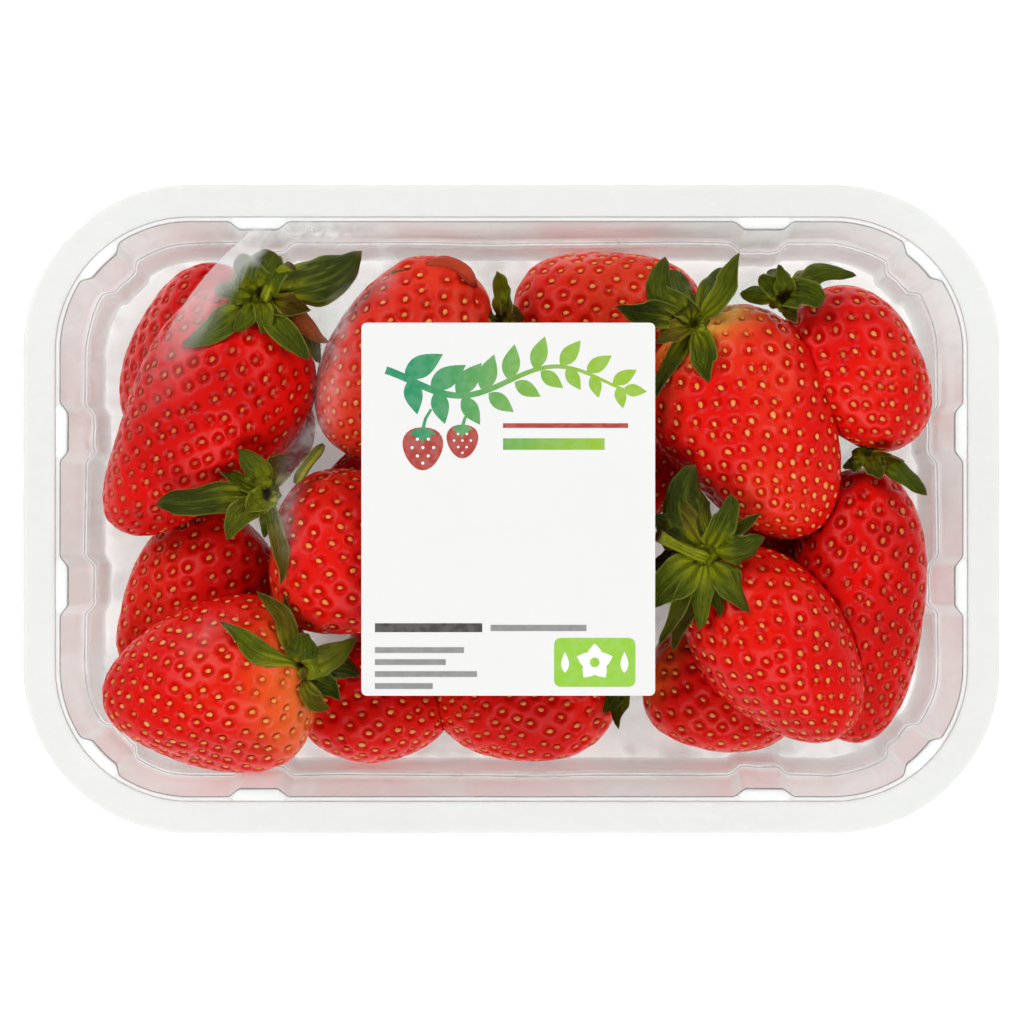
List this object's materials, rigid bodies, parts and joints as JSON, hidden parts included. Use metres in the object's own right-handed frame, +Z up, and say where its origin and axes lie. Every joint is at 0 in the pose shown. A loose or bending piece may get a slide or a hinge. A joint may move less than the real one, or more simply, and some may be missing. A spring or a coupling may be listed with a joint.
{
  "type": "punnet of strawberries",
  "caption": "Shallow clear plastic punnet of whole strawberries, sealed with a clear film lid that carries a plain paper label.",
  "frame": {"origin": "middle of the tray's underside, on the surface that it stands on", "axes": "+X along the tray's length, +Y along its width, +Z up through the film lid"},
  "size_m": [0.187, 0.124, 0.0503],
  "materials": {
    "tray_plastic": "clear thermoformed sheet, glossy, milky on the flange",
    "strawberry": "moist glossy fruit skin, dimpled, with pale yellow seeds and green leaves",
    "film_plastic": "thin clear film, glossy, with soft white glare",
    "label_paper": "smooth coated paper with a matt print"
  },
  "bodies": {
    "root": {"tray": "tray_plastic", "strawberries": "strawberry", "film": "film_plastic", "label": "label_paper"}
  },
  "joints": []
}
